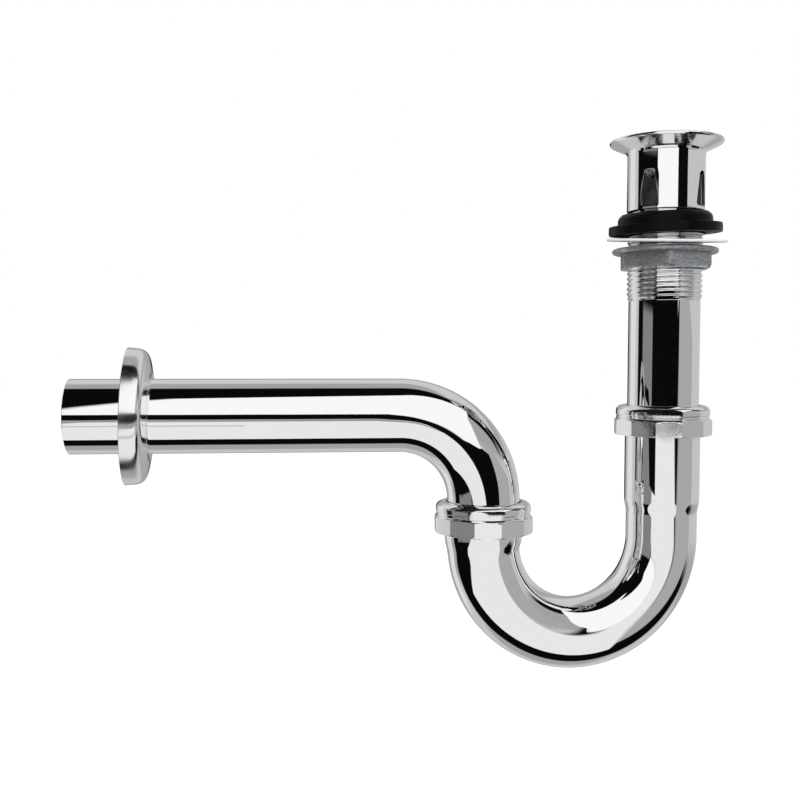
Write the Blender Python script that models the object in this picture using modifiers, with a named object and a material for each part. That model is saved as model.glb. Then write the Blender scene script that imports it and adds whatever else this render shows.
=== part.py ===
"""Basin trap: slotted basin waste, tailpiece, U-bend and wall outlet pipe in chromed brass.

Units are metres, +Z is up. The origin is on the waste's axis, in the plane where its flange
sits on the basin. The outlet pipe runs towards -X.
"""
import math

import bmesh
import bpy
from mathutils import Matrix, Vector

# Fits and facets
seat_gap = 0.0003
round_sides = 40
hidden_sides = 24
tube_sides = 28
bend_step = math.radians(10.0)
corner_steps = 4
dome_steps = 5
sharp_angle = math.radians(25.0)
weld_distance = 0.000005
turn_weld_distance = 0.00001
cutter_overrun = 0.0020

# Waste: flange, slotted body and thread
thread_step = 0.000725
thread_length = 0.0394
thread_chamfer = 0.0006
body_step = 0.000575
body_wall = 0.0017
flange_overhang = 0.0080
flange_edge = 0.0015
flange_edge_round = 0.0006
flange_slope = math.radians(25.0)
flange_fillet = 0.0022
plug_seat_width = 0.0050
plug_seat_depth = 0.0065
plug_seat_lead = 0.0010
plug_seat_lip = 0.0016
slot_count = 4
slot_first_angle = math.radians(45.0)
slot_top_depth = 0.0132
slot_height = 0.0155
slot_bottom_width = 0.0088
slot_top_width = 0.0052
slot_corner_radius = 0.0014
slot_to_thread = 0.0017
spigot_wall = 0.0012
spigot_length = 0.0075
strainer_bar_width = 0.0024
strainer_bar_height = 0.0032
strainer_bar_round = 0.0005
strainer_depth = 0.0078

# Lock nut, slip washer and gasket on the thread
lock_nut_above_thread_end = 0.0140
lock_nut_height = 0.0091
lock_nut_wall = 0.002375
lock_nut_flange_width = 0.0045
lock_nut_flange_thickness = 0.0024
lock_nut_chamfer = 0.0011
lock_nut_bore_flare = 0.0007
lock_nut_turn = math.radians(-104.0)
washer_clearance = 0.0012
washer_width = 0.0082
washer_thickness = 0.0015
washer_chamfer = 0.0004
washer_above_nut = 0.0038
washer_offset = 0.0007
washer_lean = math.radians(5.5)
gasket_clearance = 0.0009
gasket_dome_width = 0.0024
gasket_flange_width = 0.0045
gasket_flange_thickness = 0.0036
gasket_height = 0.0092
gasket_shoulder_width = 0.0020
gasket_shoulder_height = 0.0028
gasket_edge = 0.0005
gasket_above_washer = 0.0028
gasket_front_lean = math.radians(2.0)
gasket_side_lean = math.radians(-2.7)

# Tubes
tailpiece_under_tube = 0.0001
tailpiece_wall = 0.0009
tailpiece_in_view = 0.0476
tube_radius = 0.0160
tube_wall = 0.0010
tube_end_chamfer = 0.0002

# U-bend
swing = math.radians(6.2)
leg_pitch = 0.0850
inlet_leg_length = 0.0536
inlet_socket_wall = 0.0007
inlet_socket_depth = 0.0365
inlet_socket_spare = 0.0095
inlet_socket_taper = 0.0065
outlet_leg_length = 0.0120
outlet_socket_wall = 0.0009
outlet_socket_depth = 0.0098
outlet_socket_spare = 0.0018
outlet_socket_taper = 0.0062

# Slip joint: threaded collar, packing, friction ring and nut
collar_wall = 0.0013
collar_height = 0.0061
packing_thickness = 0.0029
friction_ring_thickness = 0.0010
ring_chamfer = 0.0002
nut_height = 0.0135
nut_sides = 12
nut_wall = 0.0019
nut_band_step = 0.0010
nut_band_height = 0.0071
nut_band_chamfer = 0.0007
nut_band_round = 0.0002
nut_dome_rise = 0.0031
nut_crown_thickness = 0.0017
nut_hole_clearance = 0.0006
nut_lip_width = 0.0008
inlet_nut_turn = math.radians(2.8)
outlet_nut_turn = math.radians(10.5)

# Outlet pipe and wall escutcheon
elbow_above_nut = 0.0004
elbow_radius = 0.0376
arm_length = 0.1775
escutcheon_from_end = 0.0242
escutcheon_width = 0.0134
escutcheon_depth = 0.0118
escutcheon_wall = 0.0010
escutcheon_side_height = 0.0050
escutcheon_side_draft = 0.0006
escutcheon_shoulder_width = 0.00646
escutcheon_lip_round = 0.0012
escutcheon_lip_drop = 0.0004
escutcheon_grip = 0.0009
escutcheon_clearance = 0.00035

# Radii that fit one another
tailpiece_radius = tube_radius - tailpiece_under_tube
tailpiece_bore_radius = tailpiece_radius - tailpiece_wall
thread_radius = tailpiece_radius + thread_step
body_radius = thread_radius + body_step
body_bore_radius = body_radius - body_wall
flange_radius = body_radius + flange_overhang
plug_seat_radius = body_bore_radius + plug_seat_width
spigot_radius = tailpiece_bore_radius - seat_gap
thread_bore_radius = spigot_radius - spigot_wall
lock_nut_half_width = thread_radius + lock_nut_wall
lock_nut_flange_radius = lock_nut_half_width + lock_nut_flange_width
washer_bore_radius = body_radius + washer_clearance
washer_radius = washer_bore_radius + washer_width
gasket_bore_radius = body_radius + gasket_clearance
gasket_dome_radius = gasket_bore_radius + gasket_dome_width
gasket_radius = gasket_dome_radius + gasket_flange_width
inlet_socket_bore = tailpiece_radius + seat_gap
inlet_socket_radius = inlet_socket_bore + inlet_socket_wall
outlet_socket_bore = tube_radius + seat_gap
outlet_socket_radius = outlet_socket_bore + outlet_socket_wall
collar_thread_radius = max(inlet_socket_radius, outlet_socket_radius) + seat_gap + collar_wall
nut_thread_radius = collar_thread_radius + seat_gap
nut_collar_radius = nut_thread_radius + nut_wall
nut_corner_radius = nut_collar_radius + nut_band_step
nut_hole_radius = max(tailpiece_radius, tube_radius) + nut_hole_clearance
nut_crown_radius = nut_hole_radius + nut_lip_width
escutcheon_bore_radius = tube_radius + escutcheon_clearance
escutcheon_radius = tube_radius + escutcheon_width

# Levels, counted down from the flange's seat
slot_bottom = -slot_top_depth - slot_height
thread_top = slot_bottom - slot_to_thread
thread_bottom = thread_top - thread_length
lock_nut_bottom = thread_bottom + lock_nut_above_thread_end
lock_nut_top = lock_nut_bottom + lock_nut_height
washer_level = lock_nut_top + washer_above_nut
gasket_level = washer_level + gasket_above_washer
tailpiece_top = thread_bottom - seat_gap
inlet_nut_top = thread_bottom - tailpiece_in_view
slip_stack = nut_crown_thickness + friction_ring_thickness + packing_thickness + 3 * seat_gap
inlet_mouth = inlet_nut_top - slip_stack
tailpiece_bottom = inlet_mouth - inlet_socket_depth + inlet_socket_spare
bend_level = inlet_mouth - inlet_leg_length
outlet_mouth = bend_level + outlet_leg_length
outlet_nut_top = outlet_mouth + slip_stack
outlet_pipe_bottom = outlet_mouth - outlet_socket_depth + outlet_socket_spare
elbow_start = outlet_nut_top + elbow_above_nut
arm_level = elbow_start + elbow_radius

# Places of the two upright axes and of the outlet pipe's end
across = Vector((-math.cos(swing), -math.sin(swing), 0.0))
upward = Vector((0.0, 0.0, 1.0))
wallward = Vector((-1.0, 0.0, 0.0))
waste_axis = Vector((0.0, 0.0, 0.0))
outlet_axis = across * leg_pitch
arm_end = outlet_axis.x - arm_length
escutcheon_back = arm_end + escutcheon_from_end


def clear_scene():
    for item in list(bpy.data.objects):
        bpy.data.objects.remove(item, do_unlink=True)


def make_collection(name):
    group = bpy.data.collections.new(name)
    bpy.context.scene.collection.children.link(group)
    return group


def make_material(name, colour, metallic, roughness):
    finish = bpy.data.materials.new(name)
    finish.use_nodes = True
    shader = finish.node_tree.nodes["Principled BSDF"]
    shader.inputs["Base Color"].default_value = (*colour, 1.0)
    shader.inputs["Metallic"].default_value = metallic
    shader.inputs["Roughness"].default_value = roughness
    return finish


clear_scene()
parts = make_collection("Basin trap")
cutters = make_collection("Cutters")
chrome = make_material("Chrome", (0.80, 0.80, 0.82), 1.0, 0.06)
die_cast = make_material("Die-cast zinc", (0.33, 0.34, 0.35), 0.8, 0.45)
black_rubber = make_material("Black rubber", (0.012, 0.012, 0.013), 0.0, 0.55)
white_plastic = make_material("White plastic", (0.85, 0.85, 0.86), 0.0, 0.35)
brass = make_material("Brass", (0.72, 0.55, 0.26), 1.0, 0.30)


def place(item, group, location=(0.0, 0.0, 0.0), rotation=(0.0, 0.0, 0.0)):
    """Move a new object to its collection and its place."""
    for old in list(item.users_collection):
        old.objects.unlink(item)
    group.objects.link(item)
    item.location = location
    item.rotation_euler = rotation
    if group is cutters:
        item.hide_render = True
        item.display_type = "WIRE"
    return item


def finish_part(item, material):
    item.data.materials.clear()
    item.data.materials.append(material)
    item.data.shade_smooth()
    item.data.set_sharp_from_angle(angle=sharp_angle)
    return item


def arc(centre, radius, start, end, steps=corner_steps):
    """Points of an arc in the (radius, height) plane, angles in degrees."""
    points = []
    for step in range(steps + 1):
        angle = math.radians(start + (end - start) * step / steps)
        points.append((centre[0] + radius * math.cos(angle), centre[1] + radius * math.sin(angle)))
    return points


def shoulder(centre, run, rise):
    """Points of a quarter ellipse, from its top out and down to its side."""
    points = []
    for step in range(dome_steps + 1):
        angle = math.radians(90.0) * step / dome_steps
        points.append((centre[0] + run * math.sin(angle), centre[1] + rise * math.cos(angle)))
    return points


def turned(name, profile, group, closed=True, sides=round_sides, **where):
    """A turned piece: a profile of (radius, height) points spun round Z."""
    mesh = bpy.data.meshes.new(name)
    points = [(radius, 0.0, height) for radius, height in profile]
    count = len(points)
    edges = [(i, i + 1) for i in range(count - 1)]
    if closed:
        edges.append((count - 1, 0))
    mesh.from_pydata(points, edges, [])
    item = bpy.data.objects.new(name, mesh)
    place(item, group, **where)
    screw = item.modifiers.new("Turn", "SCREW")
    screw.axis = "Z"
    screw.angle = 2.0 * math.pi
    screw.steps = sides
    screw.render_steps = sides
    screw.use_merge_vertices = True
    screw.merge_threshold = turn_weld_distance
    screw.use_smooth_shade = True
    return item


def ring_profile(inner, outer, low, high, chamfer):
    """Section of a plain ring with chamfered outer corners."""
    return [(inner, high), (outer - chamfer, high), (outer, high - chamfer),
            (outer, low + chamfer), (outer - chamfer, low), (inner, low)]


def solid_profile(side):
    """Section of a solid round body: from the axis out, down its side and back to the axis."""
    top = side[0][1]
    bottom = side[-1][1]
    return [(0.0, top)] + list(side) + [(0.0, bottom)]


def prism(name, sides, corner_radius, low, high, turn, group, location):
    """An upright prism with a corner at the angle turn."""
    bpy.ops.mesh.primitive_cylinder_add(vertices=sides, radius=corner_radius, depth=high - low)
    item = bpy.context.object
    item.name = name
    item.data.name = name
    first_corner = math.radians(90.0)
    item.data.transform(Matrix.Translation((0.0, 0.0, (high + low) / 2.0)))
    return place(item, group, location, (0.0, 0.0, turn - first_corner))


def cut(item, cutter, operation="DIFFERENCE"):
    boolean = item.modifiers.new(operation.title(), "BOOLEAN")
    boolean.operation = operation
    boolean.solver = "EXACT"
    boolean.object = cutter
    return item


def mesh_from_curve(name, curve, spin=None):
    """The closed mesh of a curve, with its caps welded on."""
    guide = bpy.data.objects.new(name + " guide", curve)
    bpy.context.scene.collection.objects.link(guide)
    bpy.context.view_layer.update()
    graph = bpy.context.evaluated_depsgraph_get()
    mesh = bpy.data.meshes.new_from_object(guide.evaluated_get(graph))
    mesh.name = name
    bpy.data.objects.remove(guide, do_unlink=True)
    shape = bmesh.new()
    shape.from_mesh(mesh)
    bmesh.ops.remove_doubles(shape, verts=shape.verts, dist=weld_distance)
    bmesh.ops.recalc_face_normals(shape, faces=shape.faces)
    if spin:
        shape.transform(spin)
    shape.to_mesh(mesh)
    shape.free()
    return mesh


def swept(name, path, group):
    """A round bar along a path of (point, radius) pairs, as a closed mesh."""
    curve = bpy.data.curves.new(name + " path", "CURVE")
    curve.dimensions = "3D"
    curve.bevel_depth = tube_radius
    curve.bevel_resolution = tube_sides // 2 - 2
    curve.use_fill_caps = True
    spline = curve.splines.new("POLY")
    spline.points.add(len(path) - 1)
    for node, (point, radius) in zip(spline.points, path):
        node.co = (*point, 1.0)
        node.radius = radius / tube_radius
    item = bpy.data.objects.new(name, mesh_from_curve(name, curve))
    return place(item, group)


def bend_points(centre, radius, start_arm, end_arm, sweep):
    """Points of a bend round a centre, from the direction start_arm towards end_arm."""
    steps = max(2, round(sweep / bend_step))
    points = []
    for step in range(steps + 1):
        angle = sweep * step / steps
        points.append(centre + radius * (start_arm * math.cos(angle) + end_arm * math.sin(angle)))
    return points


def waste_profile():
    """Section of the waste casting, flange to spigot."""
    rim = flange_radius - flange_edge_round
    seat_low = -plug_seat_depth
    profile = [(body_bore_radius, seat_low - plug_seat_lead)]
    profile += [(body_bore_radius + plug_seat_lead / 2.0, seat_low)]
    profile += [(plug_seat_radius - plug_seat_lead, -plug_seat_lead / 2.0)]
    profile += [(plug_seat_radius, flange_edge - plug_seat_lead)]
    profile += [(plug_seat_radius + plug_seat_lip, flange_edge)]
    profile += arc((rim, flange_edge - flange_edge_round), flange_edge_round, 90.0, 0.0)
    under_edge = math.degrees(flange_slope) - 90.0
    profile += arc((rim, flange_edge_round), flange_edge_round, 0.0, under_edge, 2)
    slope_top = profile[-1]
    fillet_centre = body_radius + flange_fillet
    slope_end = fillet_centre - flange_fillet * math.sin(flange_slope)
    slope_low = slope_top[1] - (slope_top[0] - slope_end) * math.tan(flange_slope)
    centre_low = slope_low - flange_fillet * math.cos(flange_slope)
    start = 90.0 + math.degrees(flange_slope)
    profile += arc((fillet_centre, centre_low), flange_fillet, start, 180.0)
    profile += [(body_radius, thread_top + body_step)]
    profile += [(thread_radius, thread_top)]
    profile += [(thread_radius, thread_bottom + thread_chamfer)]
    profile += [(thread_radius - thread_chamfer, thread_bottom)]
    profile += [(spigot_radius, thread_bottom)]
    profile += [(spigot_radius, thread_bottom - spigot_length)]
    profile += [(thread_bore_radius, thread_bottom - spigot_length)]
    bore_step = body_bore_radius - thread_bore_radius
    profile += [(thread_bore_radius, thread_top - bore_step)]
    profile += [(body_bore_radius, thread_top)]
    return profile


def slot_cutter(index):
    """One overflow slot: a tapered arch, wide at its foot, cut square through the wall."""
    corner = slot_corner_radius
    half_foot = slot_bottom_width / 2.0
    half_top = slot_top_width / 2.0
    arch_centre = -slot_top_depth - half_top
    arch_lean = math.degrees(math.atan2(half_foot - half_top, slot_height))
    outline = arc((half_foot - corner, slot_bottom + corner), corner, -90.0, 0.0, 3)
    outline += arc((0.0, arch_centre), half_top, arch_lean, 180.0 - arch_lean, 8)
    outline += arc((corner - half_foot, slot_bottom + corner), corner, 180.0, 270.0, 3)
    curve = bpy.data.curves.new("slot outline", "CURVE")
    curve.dimensions = "2D"
    curve.fill_mode = "BOTH"
    curve.extrude = body_radius / 2.0
    spline = curve.splines.new("POLY")
    spline.points.add(len(outline) - 1)
    for node, (x, y) in zip(spline.points, outline):
        node.co = (x, y, 0.0, 1.0)
    spline.use_cyclic_u = True
    name = f"slot_cutter_{index}"
    upright = Matrix.Rotation(math.radians(90.0), 4, "X")
    item = bpy.data.objects.new(name, mesh_from_curve(name, curve, upright))
    angle = slot_first_angle + index * 2.0 * math.pi / slot_count
    spot = (body_radius * math.cos(angle), body_radius * math.sin(angle), 0.0)
    return place(item, cutters, spot, (0.0, 0.0, angle + math.radians(90.0)))


def strainer_bar(index):
    """One bar of the cross that is cast into the throat."""
    bpy.ops.mesh.primitive_cube_add(size=1.0)
    bar = bpy.context.object
    bar.name = f"strainer_bar_{index}"
    length = 2.0 * (body_bore_radius + body_wall / 2.0)
    bar.data.transform(Matrix.Diagonal((length, strainer_bar_width, strainer_bar_height, 1.0)))
    level = -strainer_depth - strainer_bar_height / 2.0
    place(bar, cutters, (0.0, 0.0, level), (0.0, 0.0, index * math.radians(90.0)))
    rounding = bar.modifiers.new("Round", "BEVEL")
    rounding.width = strainer_bar_round
    rounding.segments = 2
    return bar


def make_waste():
    waste = turned("waste_body", waste_profile(), parts)
    for index in range(2):
        cut(waste, strainer_bar(index), "UNION")
    for index in range(slot_count):
        cut(waste, slot_cutter(index))
    finish_part(waste, chrome)


def make_gasket():
    """Rubber gasket: a flange that seals under the basin and a dome that fills its hole."""
    flange_top = gasket_flange_thickness
    dome_side = gasket_height - gasket_shoulder_height
    dome_flat = gasket_dome_radius - gasket_shoulder_width
    profile = [(gasket_bore_radius, gasket_height)]
    profile += shoulder((dome_flat, dome_side), gasket_shoulder_width, gasket_shoulder_height)
    profile += [(gasket_dome_radius, flange_top + gasket_edge)]
    profile += [(gasket_dome_radius + gasket_edge, flange_top)]
    profile += [(gasket_radius - gasket_edge, flange_top), (gasket_radius, flange_top - gasket_edge)]
    profile += [(gasket_radius, gasket_edge), (gasket_radius - gasket_edge, 0.0)]
    profile += [(gasket_bore_radius, 0.0)]
    gasket = turned("basin_gasket", profile, parts, location=(0.0, 0.0, gasket_level),
                    rotation=(gasket_front_lean, gasket_side_lean, 0.0))
    finish_part(gasket, black_rubber)


def make_slip_washer():
    half = washer_thickness / 2.0
    profile = ring_profile(washer_bore_radius, washer_radius, -half, half, washer_chamfer)
    washer = turned("slip_washer", profile, parts, location=(washer_offset, 0.0, washer_level),
                    rotation=(washer_lean, 0.0, 0.0))
    finish_part(washer, white_plastic)


def make_lock_nut():
    """Flanged hexagon nut, cast, with a bore that clears the thread's crest."""
    corner_radius = lock_nut_half_width / math.cos(math.radians(30.0))
    flange_low = lock_nut_top - lock_nut_flange_thickness
    flange_middle = lock_nut_top - lock_nut_flange_thickness / 2.0
    nut = prism("lock_nut", 6, corner_radius, lock_nut_bottom, flange_middle,
                lock_nut_turn, parts, (0.0, 0.0, 0.0))
    chamfer = lock_nut_chamfer
    body = solid_profile([(corner_radius + chamfer, lock_nut_top),
                          (corner_radius + chamfer, lock_nut_bottom + chamfer),
                          (corner_radius - chamfer, lock_nut_bottom)])
    cut(nut, turned("lock_nut_chamfer", body, cutters, closed=False), "INTERSECT")
    edge = lock_nut_flange_thickness / 2.0
    rim = lock_nut_flange_radius - edge
    flange = solid_profile(arc((rim, flange_low + edge), edge, 90.0, -90.0, 6))
    cut(nut, turned("lock_nut_flange", flange, cutters, closed=False), "UNION")
    bore = thread_radius + seat_gap
    flare = bore + lock_nut_bore_flare
    hole = solid_profile([(flare, lock_nut_top + cutter_overrun), (flare, lock_nut_top),
                          (bore, lock_nut_top - lock_nut_bore_flare),
                          (bore, lock_nut_bottom + lock_nut_bore_flare),
                          (flare, lock_nut_bottom), (flare, lock_nut_bottom - cutter_overrun)])
    cut(nut, turned("lock_nut_bore", hole, cutters, closed=False))
    finish_part(nut, die_cast)


def make_tailpiece():
    profile = ring_profile(tailpiece_bore_radius, tailpiece_radius, tailpiece_bottom,
                           tailpiece_top, tube_end_chamfer)
    finish_part(turned("tailpiece", profile, parts), chrome)


def nut_crown_profile(bottom):
    """Collar and dome above the nut's twelve-sided band."""
    dome_run = nut_collar_radius - nut_crown_radius
    dome_low = bottom + nut_height - nut_dome_rise
    side = shoulder((nut_crown_radius, dome_low), dome_run, nut_dome_rise)
    side.append((nut_collar_radius, bottom + nut_band_height / 2.0))
    return solid_profile(side)


def make_slip_nut(name, axis, top, turn):
    """Twelve-sided slip nut with a domed crown that traps the friction ring."""
    bottom = top - nut_height
    place_at = (axis.x, axis.y, 0.0)
    band_top = bottom + nut_band_height
    nut = prism(name, nut_sides, nut_corner_radius, bottom, band_top, turn, parts, place_at)
    chamfer = nut_band_chamfer
    reach = nut_corner_radius + nut_band_round
    band = solid_profile([(reach - chamfer, band_top), (reach, band_top - chamfer),
                          (reach, bottom + chamfer), (reach - chamfer, bottom)])
    band_name = name + "_band_round"
    cut(nut, turned(band_name, band, cutters, closed=False, location=place_at), "INTERSECT")
    crown = nut_crown_profile(bottom)
    cut(nut, turned(name + "_crown", crown, cutters, closed=False, location=place_at), "UNION")
    ceiling = top - nut_crown_thickness
    bore = [(nut_hole_radius, top + cutter_overrun), (nut_hole_radius, ceiling),
            (nut_thread_radius, ceiling), (nut_thread_radius, bottom - cutter_overrun)]
    hole = turned(name + "_bore", solid_profile(bore), cutters, closed=False, location=place_at)
    cut(nut, hole)
    finish_part(nut, chrome)


def hidden_ring(name, inner, outer, low, high, axis, material):
    """A plain ring inside a slip joint."""
    profile = ring_profile(inner, outer, low, high, ring_chamfer)
    ring = turned(name, profile, parts, sides=hidden_sides, location=(axis.x, axis.y, 0.0))
    finish_part(ring, material)


def make_slip_joint(prefix, axis, pipe_radius, socket_radius, mouth):
    """Friction ring, packing and threaded collar that a slip nut draws together."""
    bore = pipe_radius + seat_gap
    rim = nut_thread_radius - 2.0 * seat_gap
    packing_low = mouth + seat_gap
    packing_high = packing_low + packing_thickness
    hidden_ring(prefix + "_packing", bore, rim, packing_low, packing_high, axis, black_rubber)
    ring_low = packing_high + seat_gap
    ring_high = ring_low + friction_ring_thickness
    hidden_ring(prefix + "_friction_ring", bore, rim, ring_low, ring_high, axis, white_plastic)
    collar_bore = socket_radius + seat_gap
    collar_low = mouth - collar_height
    hidden_ring(prefix + "_collar", collar_bore, collar_thread_radius, collar_low, mouth, axis, brass)


def u_bend_path(inlet, tube, outlet, overrun):
    """Centre line and radii of the U-bend, from its inlet mouth round to its outlet mouth."""
    inlet_socket_low = inlet_mouth - inlet_socket_depth
    path = [(upward * (inlet_mouth + overrun), inlet)]
    path.append((upward * inlet_socket_low, inlet))
    path.append((upward * (inlet_socket_low - inlet_socket_taper), tube))
    half_pitch = leg_pitch / 2.0
    centre = across * half_pitch + upward * bend_level
    outlet_side = centre + across * half_pitch
    outlet_socket_low = outlet_mouth - outlet_socket_depth
    flare_low = outlet_socket_low - outlet_socket_taper
    for point in bend_points(centre, half_pitch, -across, -upward, math.pi):
        radius = tube
        near_outlet = (point - outlet_side).length < half_pitch
        if near_outlet and point.z > flare_low:
            share = min(1.0, (point.z - flare_low) / outlet_socket_taper)
            radius = tube + (outlet - tube) * share * share * (3.0 - 2.0 * share)
        path.append((point, radius))
    path.append((outlet_axis + upward * outlet_socket_low, outlet))
    path.append((outlet_axis + upward * (outlet_mouth + overrun), outlet))
    return path


def make_u_bend():
    outside = u_bend_path(inlet_socket_radius, tube_radius, outlet_socket_radius, 0.0)
    tube_bore = tube_radius - tube_wall
    inside = u_bend_path(inlet_socket_bore, tube_bore, outlet_socket_bore, cutter_overrun)
    bend = swept("u_bend", outside, parts)
    cut(bend, swept("u_bend_bore", inside, cutters))
    finish_part(bend, chrome)


def outlet_path(radius, overrun):
    """Centre line of the outlet pipe: leg, elbow and arm."""
    path = [(outlet_axis + upward * (outlet_pipe_bottom - overrun), radius)]
    centre = outlet_axis + wallward * elbow_radius + upward * elbow_start
    for point in bend_points(centre, elbow_radius, -wallward, upward, math.pi / 2.0):
        path.append((point, radius))
    path.append((Vector((arm_end - overrun, outlet_axis.y, arm_level)), radius))
    return path


def make_outlet_pipe():
    pipe = swept("outlet_pipe", outlet_path(tube_radius, 0.0), parts)
    bore = outlet_path(tube_radius - tube_wall, cutter_overrun)
    cut(pipe, swept("outlet_pipe_bore", bore, cutters))
    finish_part(pipe, chrome)


def make_escutcheon():
    """Pressed cover ring: rolled side, rounded shoulder and a lip that grips the pipe."""
    wall = escutcheon_wall
    bore = escutcheon_bore_radius
    rise = escutcheon_depth - escutcheon_side_height
    run = escutcheon_shoulder_width
    dome_centre = (escutcheon_radius - escutcheon_side_draft - run, escutcheon_side_height)
    lip_radius = bore + escutcheon_lip_round
    lip_level = escutcheon_depth - escutcheon_lip_drop - escutcheon_lip_round
    profile = arc((lip_radius, lip_level), escutcheon_lip_round, 180.0, 90.0, 3)
    profile += shoulder(dome_centre, run, rise)
    profile += [(escutcheon_radius, 0.0), (escutcheon_radius - wall, 0.0)]
    profile += list(reversed(shoulder(dome_centre, run - wall, rise - wall)))
    profile += [(lip_radius + escutcheon_lip_drop, escutcheon_depth - wall - escutcheon_lip_drop)]
    profile += [(bore + wall, lip_level - escutcheon_grip), (bore, lip_level - escutcheon_grip)]
    ring = turned("escutcheon", profile, parts,
                  location=(escutcheon_back, outlet_axis.y, arm_level),
                  rotation=(0.0, math.radians(90.0), 0.0))
    finish_part(ring, chrome)


def main():
    make_waste()
    make_gasket()
    make_slip_washer()
    make_lock_nut()
    make_tailpiece()
    make_slip_nut("inlet_nut", waste_axis, inlet_nut_top, inlet_nut_turn)
    make_slip_joint("inlet", waste_axis, tailpiece_radius, inlet_socket_radius, inlet_mouth)
    make_u_bend()
    make_slip_nut("outlet_nut", outlet_axis, outlet_nut_top, outlet_nut_turn)
    make_slip_joint("outlet", outlet_axis, tube_radius, outlet_socket_radius, outlet_mouth)
    make_outlet_pipe()
    make_escutcheon()


main()
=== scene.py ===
"""Looks of the basin trap: fine chromed tubes, true threads, nuts, rubber and plastic.

Units are metres in the frame's own coordinates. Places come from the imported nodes' boxes, and
sizes that a box cannot give are named below.
"""
import math

import bmesh
import bpy
from mathutils import Matrix, Vector


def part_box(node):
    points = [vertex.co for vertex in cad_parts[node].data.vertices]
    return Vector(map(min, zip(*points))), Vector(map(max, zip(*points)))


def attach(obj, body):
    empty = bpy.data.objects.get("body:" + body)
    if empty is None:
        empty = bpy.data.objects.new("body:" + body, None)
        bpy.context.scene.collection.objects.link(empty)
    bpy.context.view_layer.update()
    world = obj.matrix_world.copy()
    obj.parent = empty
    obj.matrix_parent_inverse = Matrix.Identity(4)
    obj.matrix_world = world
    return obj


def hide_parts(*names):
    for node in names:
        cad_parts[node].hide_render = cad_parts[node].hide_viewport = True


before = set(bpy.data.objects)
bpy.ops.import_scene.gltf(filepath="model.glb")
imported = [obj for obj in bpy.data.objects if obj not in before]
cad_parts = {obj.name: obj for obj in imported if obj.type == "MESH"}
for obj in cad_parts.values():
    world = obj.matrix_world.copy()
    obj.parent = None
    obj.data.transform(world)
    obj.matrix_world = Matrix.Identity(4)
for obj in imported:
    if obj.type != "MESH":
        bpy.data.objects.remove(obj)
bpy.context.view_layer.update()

# Facets, and the angles past which an edge stays sharp
ROUND = 160
FINE_ROUND = 192
TUBE_SIDES = 112
THREAD_SIDES = 144
THREAD_SAMPLES = 12
SWEEP_STEP = math.radians(3.0)
SHARP = math.radians(28.0)
NUT_SHARP = math.radians(22.0)
THREAD_SHARP = math.radians(60.0)
QUARTER = math.pi / 2.0

# Clearances: a sliding fit, a margin inside the solids' box, and the rounding of a cut end
FIT = 0.0003
BOX_MARGIN = 0.0001
LIP = 0.0002

# Waste casting
BODY_RADIUS = 0.0172
BODY_BORE = 0.0155
FLANGE_EDGE = 0.0015
FLANGE_RIM_LOW = 0.0006
FLANGE_INSET = 0.0005
FLANGE_SLOPE = math.radians(25.0)
FLANGE_FILLET = 0.00286
PLUG_SEAT_RADIUS = 0.0205
PLUG_SEAT_DEPTH = 0.0065
PLUG_SEAT_STEP = 0.0010
PLUG_SEAT_LIP = 0.0006
SLOT_TOP = -0.0132
SLOT_HEIGHT = 0.0155
SLOT_FOOT = 0.0088
SLOT_HEAD = 0.0052
SLOT_CORNER = 0.0014
SLOT_ANGLES = [math.radians(45.0 + 90.0 * index) for index in range(4)]
SLOT_EDGE = 0.00022
SLOT_MARGIN = 0.0005
BAR_LENGTH = 0.03162
BAR_WIDTH = 0.0024
BAR_HEIGHT = 0.0032
BAR_DEPTH = 0.0078
BAR_EDGE = 0.0005

# Thread and spigot. The thread's shares are of half a pitch
THREAD_PITCH = 0.002309
THREAD_RADIUS = 0.016625
THREAD_DEPTH = 0.00062
THREAD_ROOT_SHARE = 0.12
THREAD_FLANK_SHARE = 0.62
THREAD_TOP = -0.0304
THREAD_FADE = 0.0012
THREAD_OVERLAP = 0.0020
THREAD_NECK = 0.0004
SPIGOT_LENGTH = 0.0075
SPIGOT_RADIUS = 0.0147
SPIGOT_BORE = 0.0135

# Gasket and washer. Places are where they sit on the thread, leans are about x and y
GASKET_HEIGHT_ON_THREAD = -0.0401
GASKET_LEANS = (math.radians(2.0), math.radians(-2.2))
GASKET_BORE = 0.0181
GASKET_MOUTH = 0.0190
GASKET_DOME = 0.0209
GASKET_NECK = 0.0210
GASKET_FLANGE = 0.0250
GASKET_BULGE = 0.0001
GASKET_TOP = 0.0094
GASKET_SHOULDER = 0.0076
GASKET_FLANGE_TOP = 0.0041
GASKET_BULGE_HEIGHT = 0.0018
WASHER_PLACE = (0.0007, 0.0, -0.0429)
WASHER_LEAN = math.radians(5.5)
WASHER_BORE = 0.0184
WASHER_RADIUS = 0.0266
WASHER_HALF_AT_BORE = 0.00075
WASHER_HALF_AT_RIM = 0.00060

# Lock nut
LOCK_NUT_SIDES = 6
LOCK_NUT_TURN = math.radians(-104.0)
LOCK_NUT_HALF_WIDTH = 0.0190
LOCK_NUT_CORNER_FILLET = 0.0008
LOCK_NUT_FLANGE_RADIUS = 0.0235
LOCK_NUT_FLANGE = 0.0024
LOCK_NUT_CHAMFER = 0.0007

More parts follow.
